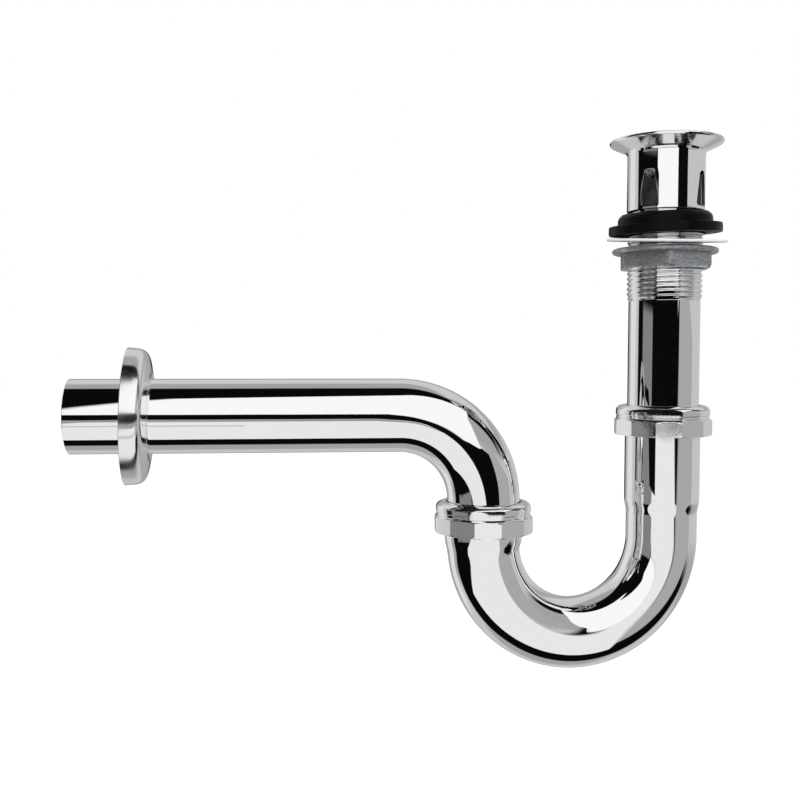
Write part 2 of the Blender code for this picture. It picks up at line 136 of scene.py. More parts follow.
# Slip nuts
NUT_SIDES = 12
NUT_TURNS = {"inlet_nut": math.radians(2.8), "outlet_nut": math.radians(10.5)}
NUT_CORNER_RADIUS = 0.0220
NUT_CORNER_FILLET = 0.00045
NUT_ROUNDING = 0.0009
NUT_BAND_HEIGHT = 0.0071
NUT_COLLAR_RADIUS = 0.0210
NUT_GROOVE = 0.00035
NUT_HOLE_RADIUS = 0.0166
NUT_THREAD_RADIUS = 0.0191
NUT_CROWN_RADIUS = 0.0174
NUT_CROWN_THICKNESS = 0.0017
NUT_DOME_RISE = 0.0026

# Tubes. Depths are below the mouth of the U-bend's socket
TAILPIECE_RADIUS = 0.0159
TAILPIECE_WALL = 0.0009
TUBE_RADIUS = 0.0160
TUBE_WALL = 0.0010
LEG_PITCH = 0.0850
SWING = math.radians(6.2)
ELBOW_RADIUS = 0.0376
U_DEPTH = 0.0536
INLET_SOCKET_RADIUS = 0.0169
INLET_SOCKET_DEPTH = 0.0365
INLET_TAPER = 0.0065
OUTLET_SOCKET_RADIUS = 0.0172
OUTLET_SOCKET_DEPTH = 0.0098
OUTLET_TAPER = 0.0062

# Escutcheon
COVER_DEPTH = 0.0099
COVER_LEAN = math.radians(-1.5)
COVER_TURN = math.radians(2.2)
COVER_PIVOT = 0.002905
COVER_SINK = 0.0004
COVER_FIT = 0.00035
COVER_WALL = 0.0010
COVER_COLLAR = 0.0028
COVER_CROWN = 0.0030
COVER_SHOULDER = 0.0017

# Chrome's own colour
CHROME = (0.88, 0.88, 0.895)

# Studio: levels that chrome turns into the tones on the object
WALL_TONE = 0.60
CORNER_TONE = 0.40
SKY_TONE = 0.66
WINDOW_TONE = 0.80
CLOTH_TONE = 0.003
LEFT_WALL_TONE = 0.24
UPPER_TONE = 1.06
LOWER_TONE = 0.90
RIGHT_WALL_TONE = 0.43
ROD_TONE = 0.36
FAINT_TONE = 0.62
SOFT_TONE = 0.85
BACKDROP_TONE = 1.0

# Studio: where its tones start and end, as (low, high, softness). Azimuths, heights and rolls are in
# degrees, from the front, above the level and over the top. BEHIND and the slit's width are parts of
# a unit direction
WALL_HEIGHTS = (-14.0, 14.0, 6.0)
WALL_END = 155.0
WALL_END_SOFTNESS = 10.0
BEHIND = 0.15
BEHIND_SOFTNESS = 0.10
SKY_HEIGHTS = (26.0, 58.0, 5.0)
GROUND_HEIGHTS = (-58.0, -30.0, 5.0)
WINDOW_AZIMUTHS = (-150.0, -122.0, 3.0)
WINDOW_HEIGHTS = (-40.0, 40.0, 6.0)
SLIT_WIDTH = (-0.20, 0.07, 0.02)
SLIT_HEIGHTS = (-9.0, 9.0, 1.5)
CLOTH_AZIMUTHS = (-109.0, 31.0, 2.0)
LEFT_WALL_AZIMUTHS = (-90.0, -47.0, 2.0)
LEFT_WALL_HEIGHTS = (-18.0, 7.2, 1.0)
CLOTH_SIDES = (-70.0, 70.0, 6.0)
OVERHEAD_ROLLS = (71.0, 97.5, 2.0)
UNDERFOOT_ROLLS = (-95.5, -51.0, 2.0)

# Floor
FLOOR_REACH = 6.0
FLOOR_DROP = 0.40
FLOOR_COLOUR = (0.45, 0.45, 0.45, 1.0)
FLOOR_GLOW = 0.72

# Camera: its turns in radians, and its place
LENS = 45.75
CAMERA_YAW = -0.0984
CAMERA_PITCH = -0.0509
CAMERA_ROLL = -0.0017
CAMERA_PLACE = (-0.1651, -0.4501, -0.0918)

# Places read from the frame
waste_low, waste_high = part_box("waste_body")
tailpiece_low, tailpiece_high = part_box("tailpiece")
pipe_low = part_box("outlet_pipe")[0]
thread_bottom = waste_low.z + SPIGOT_LENGTH
thread_root = THREAD_RADIUS - THREAD_DEPTH
flange_radius = waste_high.x
across = Vector((-math.cos(SWING), -math.sin(SWING), 0.0))
up = Vector((0.0, 0.0, 1.0))
left = Vector((-1.0, 0.0, 0.0))
outlet_axis = across * LEG_PITCH


def new_object(name, mesh, body, nodes):
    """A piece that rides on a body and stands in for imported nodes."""
    item = bpy.data.objects.new(name, mesh)
    bpy.context.scene.collection.objects.link(item)
    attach(item, body)
    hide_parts(*nodes)
    return item


def finish_mesh(mesh, material, sharp=SHARP):
    """Turn the faces outward, give the material and shade all but the sharp edges smooth."""
    shape = bmesh.new()
    shape.from_mesh(mesh)
    bmesh.ops.recalc_face_normals(shape, faces=shape.faces)
    shape.to_mesh(mesh)
    shape.free()
    mesh.materials.clear()
    mesh.materials.append(material)
    mesh.shade_smooth()
    mesh.set_sharp_from_angle(angle=sharp)


def grid_mesh(name, rings):
    """A closed skin through rings of points: each ring is joined to the next, the last to the first."""
    mesh = bpy.data.meshes.new(name)
    count = len(rings[0])
    points = [tuple(point) for ring in rings for point in ring]
    faces = []
    for row in range(len(rings)):
        after = (row + 1) % len(rings)
        for column in range(count):
            beside = (column + 1) % count
            faces.append((row * count + column, row * count + beside,
                          after * count + beside, after * count + column))
    mesh.from_pydata(points, [], faces)
    return mesh


def filleted(corners, steps=5):
    """Section points from corners of (radius, height, fillet): each corner becomes a soft curve."""
    points = []
    count = len(corners)
    for index, (radius, height, fillet) in enumerate(corners):
        here = Vector((radius, height))
        if fillet <= 0.0:
            points.append(here)
            continue
        before = Vector(corners[index - 1][:2]) - here
        after = Vector(corners[(index + 1) % count][:2]) - here
        half = before.angle(after) / 2.0
        reach = min(fillet / math.tan(half), before.length * 0.49, after.length * 0.49)
        start = here + before.normalized() * reach
        end = here + after.normalized() * reach
        for step in range(steps + 1):
            share = step / steps
            first = start.lerp(here, share)
            second = here.lerp(end, share)
            points.append(first.lerp(second, share))
    return points


def arc(centre, reach, first, last, steps):
    """Points round a centre, both ends included. reach is the arc's radius along each of its two axes."""
    turns = [first + (last - first) * step / steps for step in range(steps + 1)]
    return [(centre[0] + reach[0] * math.cos(turn), centre[1] + reach[1] * math.sin(turn)) for turn in turns]


def full_turn(sides):
    return [2.0 * math.pi * side / sides for side in range(sides)]


def circle(radius, height, sides):
    return [(radius * math.cos(angle), radius * math.sin(angle), height) for angle in full_turn(sides)]


def lathe(name, section, sides=ROUND):
    """A closed turned skin from a closed section of (radius, height) points."""
    return grid_mesh(name, [circle(radius, height, sides) for radius, height in section])


def polygon_angles(sides, turn):
    """Directions round a polygon, close together at its corners."""
    half = 180.0 / sides
    near = [half - step for step in (0.0, 0.1, 0.2, 0.32)]
    flat = [half * share for share in (0.8, 0.6, 0.4, 0.2)]
    local = [-value for value in near + flat] + [0.0] + flat[::-1] + near[:0:-1]
    angles = []
    for side in range(sides):
        middle = turn + math.radians((2 * side + 1) * half)
        angles += [middle + math.radians(value) for value in local]
    return angles


def polygon_radius(angle, sides, apothem, turn, fillet):
    """Distance from the axis to a polygon with rounded corners."""
    half = math.pi / sides
    local = abs((angle - turn) % (2.0 * half) - half)
    inner = apothem - fillet
    limit = math.atan2(inner * math.tan(half), apothem)
    if local <= limit:
        return apothem / math.cos(local)
    centre = inner / math.cos(half)
    aside = half - local
    return centre * math.cos(aside) + math.sqrt(max(0.0, fillet ** 2 - (centre * math.sin(aside)) ** 2))


def tube_rings(centres, radii, side):
    """Rings along a flat path. side is the path's constant sideways direction."""
    rings = []
    last = len(centres) - 1
    for index, (centre, radius) in enumerate(zip(centres, radii)):
        before = centres[max(0, index - 1)]
        after = centres[min(last, index + 1)]
        normal = (after - before).normalized().cross(side)
        rings.append([centre + radius * (normal * math.cos(angle) + side * math.sin(angle))
                      for angle in full_turn(TUBE_SIDES)])
    return rings


def pipe_mesh(name, centres, outer, inner, side):
    """A pipe wall: the outer skin along the path and the bore back again."""
    return grid_mesh(name, tube_rings(centres, outer, side) + tube_rings(centres, inner, side)[::-1])


def smooth_share(value):
    value = min(1.0, max(0.0, value))
    return value * value * (3.0 - 2.0 * value)


def feed(tree, value, socket):
    """Give a socket a number or another node's output."""
    if isinstance(value, (int, float)):
        socket.default_value = value
    else:
        tree.links.new(value, socket)


def math_node(tree, operation, first, second=None):
    node = tree.nodes.new("ShaderNodeMath")
    node.operation = operation
    feed(tree, first, node.inputs[0])
    if second is not None:
        feed(tree, second, node.inputs[1])
    return node.outputs[0]


def both(tree, first, second):
    return math_node(tree, "MULTIPLY", first, second)


def build_material(name, colour, metallic, roughness):
    material = bpy.data.materials.new(name)
    material.use_nodes = True
    shader = material.node_tree.nodes["Principled BSDF"]
    shader.inputs["Base Color"].default_value = (*colour, 1.0)
    shader.inputs["Metallic"].default_value = metallic
    shader.inputs["Roughness"].default_value = roughness
    return material, shader


def noise(tree, scale, detail=3.0, stretch=(1.0, 1.0, 1.0)):
    place = tree.nodes.new("ShaderNodeTexCoord")
    mapping = tree.nodes.new("ShaderNodeMapping")
    mapping.inputs["Scale"].default_value = stretch
    texture = tree.nodes.new("ShaderNodeTexNoise")
    texture.inputs["Scale"].default_value = scale
    texture.inputs["Detail"].default_value = detail
    tree.links.new(place.outputs["Object"], mapping.inputs["Vector"])
    tree.links.new(mapping.outputs["Vector"], texture.inputs["Vector"])
    return texture.outputs["Fac"]


def spread(tree, source, low, high, from_low=0.35, from_high=0.65):
    """Map a noise to a range of values."""
    mapped = tree.nodes.new("ShaderNodeMapRange")
    mapped.inputs["From Min"].default_value = from_low
    mapped.inputs["From Max"].default_value = from_high
    mapped.inputs["To Min"].default_value = low
    mapped.inputs["To Max"].default_value = high
    tree.links.new(source, mapped.inputs["Value"])
    return mapped.outputs["Result"]


def blend_colour(tree, factor, first, second):
    """Mix two colours, each a colour or an output, by a factor."""
    mix = tree.nodes.new("ShaderNodeMix")
    mix.data_type = "RGBA"
    tree.links.new(factor, mix.inputs["Factor"])
    for socket, colour in ((mix.inputs[6], first), (mix.inputs[7], second)):
        if isinstance(colour, tuple):
            socket.default_value = (*colour, 1.0)
        else:
            tree.links.new(colour, socket)
    return mix.outputs[2]


def bump(tree, height, strength, distance, below=None):
    node = tree.nodes.new("ShaderNodeBump")
    node.inputs["Strength"].default_value = strength
    node.inputs["Distance"].default_value = distance
    tree.links.new(height, node.inputs["Height"])
    if below:
        tree.links.new(below, node.inputs["Normal"])
    return node.outputs["Normal"]


def chrome_material(name, roughness=0.02, wave=0.10, speckle=0.0, haze_scale=60.0, colour=CHROME):
    """Chrome plate: a mirror with faint waves in its polish and a haze that varies."""
    material, shader = build_material(name, colour, 1.0, roughness)
    tree = material.node_tree
    haze = spread(tree, noise(tree, haze_scale), roughness * 0.6, roughness * 1.6)
    tree.links.new(haze, shader.inputs["Roughness"])
    normal = bump(tree, noise(tree, 45.0, 1.0), wave, 0.0004)
    if speckle > 0.0:
        normal = bump(tree, noise(tree, 1300.0, 4.0), speckle, 0.0002, normal)
    tree.links.new(normal, shader.inputs["Normal"])
    return material


def cast_material():
    """Die-cast zinc: dull and mottled, with a grainy skin, and convex edges painted lighter in patches:
    partly wear, partly a painted highlight on the corners.
    """
    material, shader = build_material("Die_cast_zinc", (0.36, 0.37, 0.38), 0.7, 0.42)
    tree = material.node_tree
    grain = blend_colour(tree, spread(tree, noise(tree, 1300.0, 6.0), 0.0, 1.0, 0.34, 0.68),
                         (0.22, 0.232, 0.245), (0.42, 0.435, 0.45))
    streaks = spread(tree, noise(tree, 260.0, 6.0, (1.0, 1.0, 5.0)), 0.0, 0.6, 0.50, 0.70)
    skin = blend_colour(tree, streaks, grain, (0.17, 0.18, 0.195))
    place = tree.nodes.new("ShaderNodeNewGeometry")
    # Convex edges lighter in patches: wear together with a painted highlight along the nut's corners
    ridge = spread(tree, place.outputs["Pointiness"], 0.0, 1.0, 0.52, 0.58)
    edge_wear_and_highlight_patches = spread(tree, noise(tree, 500.0, 5.0), 0.0, 1.0, 0.42, 0.62)
    colour = blend_colour(tree, both(tree, ridge, edge_wear_and_highlight_patches), skin, (0.84, 0.85, 0.86))
    tree.links.new(colour, shader.inputs["Base Color"])
    tree.links.new(spread(tree, noise(tree, 300.0), 0.30, 0.52), shader.inputs["Roughness"])
    coarse = bump(tree, noise(tree, 520.0, 5.0), 0.30, 0.0003)
    tree.links.new(bump(tree, noise(tree, 2200.0, 3.0), 0.35, 0.0001, coarse), shader.inputs["Normal"])
    return material


def rubber_material():
    material, shader = build_material("Moulded_rubber", (0.0035, 0.0035, 0.004), 0.0, 0.4)
    shader.inputs["Specular IOR Level"].default_value = 0.07
    tree = material.node_tree
    tree.links.new(spread(tree, noise(tree, 90.0), 0.28, 0.42), shader.inputs["Roughness"])
    tree.links.new(bump(tree, noise(tree, 1800.0, 2.0), 0.12, 0.0002), shader.inputs["Normal"])
    return material


def plastic_material():
    material, shader = build_material("White_plastic", (0.80, 0.80, 0.81), 0.0, 0.35)
    tree = material.node_tree
    tree.links.new(spread(tree, noise(tree, 70.0), 0.28, 0.42), shader.inputs["Roughness"])
    tree.links.new(bump(tree, noise(tree, 700.0, 2.0), 0.06, 0.0002), shader.inputs["Normal"])
    return material


def brass_material():
    material, shader = build_material("Turned_brass", (0.72, 0.54, 0.25), 1.0, 0.28)
    tree = material.node_tree
    lines = noise(tree, 40.0, 3.0, (1.0, 1.0, 60.0))
    tree.links.new(spread(tree, lines, 0.2, 0.4), shader.inputs["Roughness"])
    tree.links.new(bump(tree, lines, 0.1, 0.0001), shader.inputs["Normal"])
    return material


chrome = chrome_material("Chrome_tube")
cast_chrome = chrome_material("Chrome_casting", 0.03, 0.16)
flange_chrome = chrome_material("Chrome_flange", 0.11, 0.12, 0.06, 240.0)
# Dark grey chrome for the bore: painted shade inside the waste, seen through the slots
shaded_bore_chrome = chrome_material("Chrome_bore_painted_shade", 0.40, 0.2, 0.3, 90.0, (0.20, 0.20, 0.205))
nut_chrome = chrome_material("Chrome_nut", 0.08, 0.12, 0.10)
satin_chrome = chrome_material("Chrome_cover", 0.17, 0.22, 0.02)
zinc = cast_material()
rubber = rubber_material()
plastic = plastic_material()
brass = brass_material()


def slot_outline():
    """A slot's (sideways, height) points: rounded foot corners, sides that lean in and a round head."""
    half_foot = SLOT_FOOT / 2.0
    half_head = SLOT_HEAD / 2.0
    foot = SLOT_TOP - SLOT_HEIGHT + SLOT_CORNER
    lean = math.atan2(half_foot - half_head, SLOT_HEIGHT)
    corner = (SLOT_CORNER, SLOT_CORNER)
    outline = arc((half_foot - SLOT_CORNER, foot), corner, -QUARTER, 0.0, 8)
    outline += arc((0.0, SLOT_TOP - half_head), (half_head, half_head), lean, math.pi - lean, 24)
    outline += arc((SLOT_CORNER - half_foot, foot), corner, math.pi, math.pi + QUARTER, 8)
    return outline


def slot_cutter(angle):
    """A tapered arch that runs square through the wall."""
    outline = slot_outline()
    outward = Vector((math.cos(angle), math.sin(angle), 0.0))
    sideways = Vector((-math.sin(angle), math.cos(angle), 0.0))
    shape = bmesh.new()
    inside, outside = [[shape.verts.new(outward * reach + sideways * x + up * z) for x, z in outline]
                       for reach in (BODY_RADIUS * 0.5, BODY_RADIUS * 1.4)]
    shape.faces.new(inside)
    shape.faces.new(outside)
    for index in range(len(outline)):
        after = (index + 1) % len(outline)
        shape.faces.new((inside[index], inside[after], outside[after], outside[index]))
    bmesh.ops.recalc_face_normals(shape, faces=shape.faces)
    mesh = bpy.data.meshes.new("slot_cutter")
    shape.to_mesh(mesh)
    shape.free()
    cutter = bpy.data.objects.new("slot_cutter", mesh)
    bpy.context.scene.collection.objects.link(cutter)
    return cutter


def applied(item):
    """The mesh of an object with its modifiers applied."""
    bpy.context.view_layer.update()
    graph = bpy.context.evaluated_depsgraph_get()
    mesh = bpy.data.meshes.new_from_object(item.evaluated_get(graph))
    item.modifiers.clear()
    item.data = mesh
    return mesh


def make_waste():
    """The casting: flange with its plug seat, slotted body and bore, down into the top of the thread."""
    slope_start = flange_radius - FLANGE_INSET
    slope_low = (BODY_RADIUS - slope_start) * math.tan(FLANGE_SLOPE)
    overlap_low = THREAD_TOP - THREAD_OVERLAP
    section = filleted([
        (BODY_BORE, -PLUG_SEAT_DEPTH - PLUG_SEAT_STEP, 0.0008),
        (PLUG_SEAT_RADIUS - PLUG_SEAT_STEP, -PLUG_SEAT_LIP, 0.0010), (PLUG_SEAT_RADIUS, FLANGE_EDGE, 0.0012),
        (flange_radius - LIP, FLANGE_EDGE, 0.0007), (flange_radius, FLANGE_RIM_LOW, 0.0005),
        (slope_start, 0.0, 0.0004), (BODY_RADIUS, slope_low, FLANGE_FILLET),
        (BODY_RADIUS, SLOT_TOP + SLOT_MARGIN, 0.0), (BODY_RADIUS, SLOT_TOP - SLOT_HEIGHT - SLOT_MARGIN, 0.0),
        (BODY_RADIUS, THREAD_TOP + THREAD_NECK, 0.0), (thread_root, THREAD_TOP - THREAD_NECK, 0.0),
        (thread_root, overlap_low, 0.0), (SPIGOT_BORE, overlap_low, 0.0), (BODY_BORE, THREAD_TOP, 0.0)], 8)
    mesh = lathe("waste_shell", section, FINE_ROUND)
    shell = new_object("waste_shell", mesh, "waste", ["waste_body"])
    finish_mesh(mesh, cast_chrome)
    cutters = [slot_cutter(angle) for angle in SLOT_ANGLES]
    for cutter in cutters:
        cut = shell.modifiers.new("Slot", "BOOLEAN")
        cut.solver = "EXACT"
        cut.object = cutter
    edge = shell.modifiers.new("Edge", "BEVEL")
    edge.width = SLOT_EDGE
    edge.segments = 3
    edge.limit_method = "ANGLE"
    edge.angle_limit = math.radians(50.0)
    mesh = applied(shell)
    for cutter in cutters:
        bpy.data.objects.remove(cutter, do_unlink=True)
    finish_mesh(mesh, cast_chrome)
    mesh.materials.append(shaded_bore_chrome)
    mesh.materials.append(flange_chrome)
    # Faces down inside the bore take the dark chrome, which paints the shade in the bore
    in_bore = BODY_BORE + 0.0001
    looks_down = -0.5
    for face in mesh.polygons:
        if math.hypot(face.center.x, face.center.y) < in_bore and face.center.z < -PLUG_SEAT_DEPTH:
            face.material_index = 1
        elif face.center.z > slope_low and face.normal.z < looks_down:
            face.material_index = 2


def thread_ridge(height, angle):
    """The thread's ridge at a place, from 0 at its root to 1 at its crest."""
    turn = (height / THREAD_PITCH - angle / (2.0 * math.pi)) % 1.0
    rise = 1.0 - abs(2.0 * turn - 1.0)
    return smooth_share((rise - THREAD_ROOT_SHARE) / THREAD_FLANK_SHARE)


def make_thread():
    """The outside thread, a true helix, with the spigot below it."""
    top = THREAD_TOP - LIP
    rows = round((top - thread_bottom) / THREAD_PITCH * THREAD_SAMPLES)
    angles = full_turn(THREAD_SIDES)
    rings = []
    for row in range(rows + 1):
        height = top + (thread_bottom - top) * row / rows
        limit = smooth_share(min(height - thread_bottom, top - height) / THREAD_FADE)
        ring = []
        for angle in angles:
            radius = THREAD_RADIUS - THREAD_DEPTH * (1.0 - thread_ridge(height, angle) * limit)
            ring.append((radius * math.cos(angle), radius * math.sin(angle), height))
        rings.append(ring)
    for radius, height in ((SPIGOT_RADIUS, thread_bottom), (SPIGOT_RADIUS, waste_low.z),
                           (SPIGOT_BORE, waste_low.z), (SPIGOT_BORE, top)):
        rings.append(circle(radius, height, THREAD_SIDES))
    mesh = grid_mesh("waste_thread", rings)
    new_object("waste_thread", mesh, "waste", ["waste_body"])
    finish_mesh(mesh, chrome, THREAD_SHARP)


def make_strainer():
    """The cross in the throat."""
    shape = bmesh.new()
    size = Matrix.Diagonal((BAR_LENGTH, BAR_WIDTH, BAR_HEIGHT, 1.0))
    middle = Matrix.Translation((0.0, 0.0, -BAR_DEPTH - BAR_HEIGHT / 2.0))
    for turn in (0.0, QUARTER):
        spin = Matrix.Rotation(turn, 4, "Z")
        bmesh.ops.create_cube(shape, size=1.0, matrix=middle @ spin @ size)
    bmesh.ops.bevel(shape, geom=shape.edges[:], offset=BAR_EDGE, segments=3, affect="EDGES")
    mesh = bpy.data.meshes.new("strainer_cross")
    shape.to_mesh(mesh)
    shape.free()
    new_object("strainer_cross", mesh, "waste", ["waste_body"])
    finish_mesh(mesh, cast_chrome)


def make_tailpiece():
    low, high = tailpiece_low.z, tailpiece_high.z
    bore = TAILPIECE_RADIUS - TAILPIECE_WALL
    section = filleted([(bore, high, 0.0002), (TAILPIECE_RADIUS, high, 0.0003),
                        (TAILPIECE_RADIUS, low, 0.0003), (bore, low, 0.0002)])
    mesh = lathe("tailpiece_tube", section)
    new_object("tailpiece_tube", mesh, "waste", ["tailpiece"])
    finish_mesh(mesh, chrome)


def nut_mesh(name, levels, sides, apothem, turn, fillet):
    """A nut from levels of (height, round radius, whether the polygon limits it)."""
    angles = polygon_angles(sides, turn)
    rings = []
    for height, radius, faceted in levels:
        ring = []
        for angle in angles:
            reach = radius
            if faceted:
                reach = min(radius, polygon_radius(angle, sides, apothem, turn, fillet))
            ring.append((reach * math.cos(angle), reach * math.sin(angle), height))
        rings.append(ring)
    return grid_mesh(name, rings)


def make_slip_nut(name, axis, body):
    """A twelve-sided band, a round collar above it with a groove between, and a domed crown."""
    low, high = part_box(name)
    bottom, top = low.z, high.z
    band_top = bottom + NUT_BAND_HEIGHT
    dome_low = top - NUT_DOME_RISE
    groove = NUT_COLLAR_RADIUS - NUT_GROOVE
    ceiling = top - NUT_CROWN_THICKNESS
    corner = NUT_CORNER_RADIUS - NUT_ROUNDING
    rounding = (NUT_ROUNDING, NUT_ROUNDING)
    dome = arc((dome_low, NUT_CROWN_RADIUS), (NUT_DOME_RISE, NUT_COLLAR_RADIUS - NUT_CROWN_RADIUS),
               0.0, QUARTER, 10)
    collar = [(dome_low - 0.0016, NUT_COLLAR_RADIUS), (dome_low - 0.0018, NUT_COLLAR_RADIUS - 0.0001),
              (dome_low - 0.0019, groove), (band_top + 0.0008, groove), (band_top + 0.0006, groove + 0.0002),
              (band_top + 0.0003, groove + 0.0003), (band_top, NUT_COLLAR_RADIUS)]
    band_edges = arc((band_top - NUT_ROUNDING, corner), rounding, 0.0, QUARTER, 6)
    band_edges += arc((bottom + NUT_ROUNDING, corner), rounding, QUARTER, math.pi, 6)
    bore = [(bottom, NUT_THREAD_RADIUS + 0.0003), (bottom + 0.0003, NUT_THREAD_RADIUS),
            (ceiling, NUT_THREAD_RADIUS), (ceiling, NUT_HOLE_RADIUS), (top - LIP, NUT_HOLE_RADIUS)]
    levels = [(top, NUT_HOLE_RADIUS + LIP, False)]
    levels += [(height, radius, False) for height, radius in dome + collar]
    levels += [(height, radius, True) for height, radius in band_edges]
    levels += [(height, radius, False) for height, radius in bore]
    apothem = NUT_CORNER_RADIUS * math.cos(math.pi / NUT_SIDES)
    mesh = nut_mesh(name + "_fine", levels, NUT_SIDES, apothem, NUT_TURNS[name], NUT_CORNER_FILLET)
    mesh.transform(Matrix.Translation((axis.x, axis.y, 0.0)))
    new_object(name + "_fine", mesh, body, [name])
    finish_mesh(mesh, nut_chrome, NUT_SHARP)


def make_lock_nut():
    """A hexagon below a round flange with a half-round edge."""
    low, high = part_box("lock_nut")
    bottom, top = low.z, high.z
    bore = THREAD_RADIUS + FIT
    edge = LOCK_NUT_FLANGE / 2.0
    under = top - LOCK_NUT_FLANGE
    corner = LOCK_NUT_HALF_WIDTH / math.cos(math.pi / LOCK_NUT_SIDES)
    flange = arc((top - edge, LOCK_NUT_FLANGE_RADIUS - edge), (edge, edge), 0.0, math.pi, 12)
    hexagon = [(under, corner + 0.0004), (bottom + 0.0011, corner), (bottom + 0.0005, corner - 0.0006),
               (bottom, corner - 0.0013)]
    levels = [(top, bore + LOCK_NUT_CHAMFER, False)]
    levels += [(height, radius, False) for height, radius in flange]
    levels += [(height, radius, True) for height, radius in hexagon]
    levels += [(bottom, bore + LOCK_NUT_CHAMFER, False), (bottom + LOCK_NUT_CHAMFER, bore, False),
               (top - LOCK_NUT_CHAMFER, bore, False)]
    mesh = nut_mesh("lock_nut_fine", levels, LOCK_NUT_SIDES, LOCK_NUT_HALF_WIDTH, LOCK_NUT_TURN,
                    LOCK_NUT_CORNER_FILLET)
    new_object("lock_nut_fine", mesh, "lock_nut", ["lock_nut"])
    finish_mesh(mesh, zinc)


def bend_route():
    """Centre line of the U-bend with its outer and bore radii."""
    inlet_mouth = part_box("inlet_collar")[1].z
    outlet_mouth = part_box("outlet_collar")[1].z
    level = inlet_mouth - U_DEPTH
    tube_bore = TUBE_RADIUS - TUBE_WALL
    centres, outer, inner = [], [], []

    def add(point, radius, bore):
        centres.append(point)
        outer.append(radius - BOX_MARGIN)
        inner.append(bore)

    bore_in = TAILPIECE_RADIUS + FIT
    add(up * inlet_mouth, INLET_SOCKET_RADIUS - LIP, bore_in + 0.0001)
    for depth in (LIP, 0.0100, 0.0220):
        add(up * (inlet_mouth - depth), INLET_SOCKET_RADIUS, bore_in)
    for step in range(17):
        share = step / 16.0
        blend = smooth_share(share)
        add(up * (inlet_mouth - INLET_SOCKET_DEPTH - INLET_TAPER * share),
            INLET_SOCKET_RADIUS + (TUBE_RADIUS - INLET_SOCKET_RADIUS) * blend,
            bore_in + (tube_bore - bore_in) * blend)
    taper_low = inlet_mouth - INLET_SOCKET_DEPTH - INLET_TAPER
    for depth in (0.0030, 0.0070):
        add(up * (taper_low - depth), TUBE_RADIUS, tube_bore)

    bore_out = TUBE_RADIUS + FIT
    flare_low = outlet_mouth - OUTLET_SOCKET_DEPTH - OUTLET_TAPER

    def add_flared(point, blend):
        add(point, TUBE_RADIUS + (OUTLET_SOCKET_RADIUS - TUBE_RADIUS) * blend,
            tube_bore + (bore_out - tube_bore) * blend)

    middle = across * (LEG_PITCH / 2.0) + up * level
    steps = round(math.pi / SWEEP_STEP)
    for step in range(steps + 1):
        angle = math.pi * step / steps
        point = middle + (LEG_PITCH / 2.0) * (-across * math.cos(angle) - up * math.sin(angle))
        past_bottom = step > steps / 2
        add_flared(point, smooth_share((point.z - flare_low) / OUTLET_TAPER) if past_bottom else 0.0)
    for share in (0.25, 0.5, 0.75):
        height = level + (outlet_mouth - level) * share
        add_flared(outlet_axis + up * height, smooth_share((height - flare_low) / OUTLET_TAPER))
    add(outlet_axis + up * (outlet_mouth - LIP), OUTLET_SOCKET_RADIUS, bore_out)
    add(outlet_axis + up * outlet_mouth, OUTLET_SOCKET_RADIUS - LIP, bore_out + 0.0001)
    return centres, outer, inner


def make_u_bend():
    centres, outer, inner = bend_route()
    mesh = pipe_mesh("u_bend_tube", centres, outer, inner, across.cross(up).normalized())
    new_object("u_bend_tube", mesh, "u_bend", ["u_bend"])
    finish_mesh(mesh, chrome)


def make_outlet_pipe():
    """The leg, the elbow and the arm, in one tube."""
    cover_low, cover_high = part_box("escutcheon")
    elbow_start = (cover_low.z + cover_high.z) / 2.0 - ELBOW_RADIUS
    leg_length = elbow_start - pipe_low.z
    centres = [outlet_axis + up * (pipe_low.z + height)
               for height in (0.0, LIP, leg_length * 0.33, leg_length * 0.66)]
    middle = outlet_axis + left * ELBOW_RADIUS + up * elbow_start
    steps = round(QUARTER / SWEEP_STEP)
    for step in range(steps + 1):
        angle = QUARTER * step / steps
        centres.append(middle + ELBOW_RADIUS * (-left * math.cos(angle) + up * math.sin(angle)))
    start = centres[-1]
    end = Vector((pipe_low.x, start.y, start.z))
    centres += [start.lerp(end, share) for share in (0.1, 0.4, 0.7, 0.95)]
    centres += [end - left * LIP, end]
    outer = [TUBE_RADIUS] * len(centres)
    outer[0] = outer[-1] = TUBE_RADIUS - LIP
    inner = [TUBE_RADIUS - TUBE_WALL] * len(centres)
    mesh = pipe_mesh("outlet_tube", centres, outer, inner, Vector((0.0, 1.0, 0.0)))
    new_object("outlet_tube", mesh, "outlet_pipe", ["outlet_pipe"])
    finish_mesh(mesh, chrome)


def make_gasket():
    section = filleted([
        (GASKET_BORE, GASKET_TOP, 0.0002), (GASKET_MOUTH, GASKET_TOP, 0.0005),
        (GASKET_DOME, GASKET_SHOULDER, 0.0040), (GASKET_NECK, GASKET_FLANGE_TOP, 0.0004),
        (GASKET_FLANGE, GASKET_FLANGE_TOP, 0.0005), (GASKET_FLANGE + GASKET_BULGE, GASKET_BULGE_HEIGHT, 0.0),
        (GASKET_FLANGE, 0.0, 0.0006), (GASKET_BORE, 0.0, 0.0003)], 6)
    mesh = lathe("gasket_fine", section)
    about_x, about_y = GASKET_LEANS
    lean = Matrix.Rotation(about_y, 4, "Y") @ Matrix.Rotation(about_x, 4, "X")
    mesh.transform(Matrix.Translation((0.0, 0.0, GASKET_HEIGHT_ON_THREAD)) @ lean)
    new_object("gasket_fine", mesh, "clamp_rings", ["basin_gasket"])
    finish_mesh(mesh, rubber)


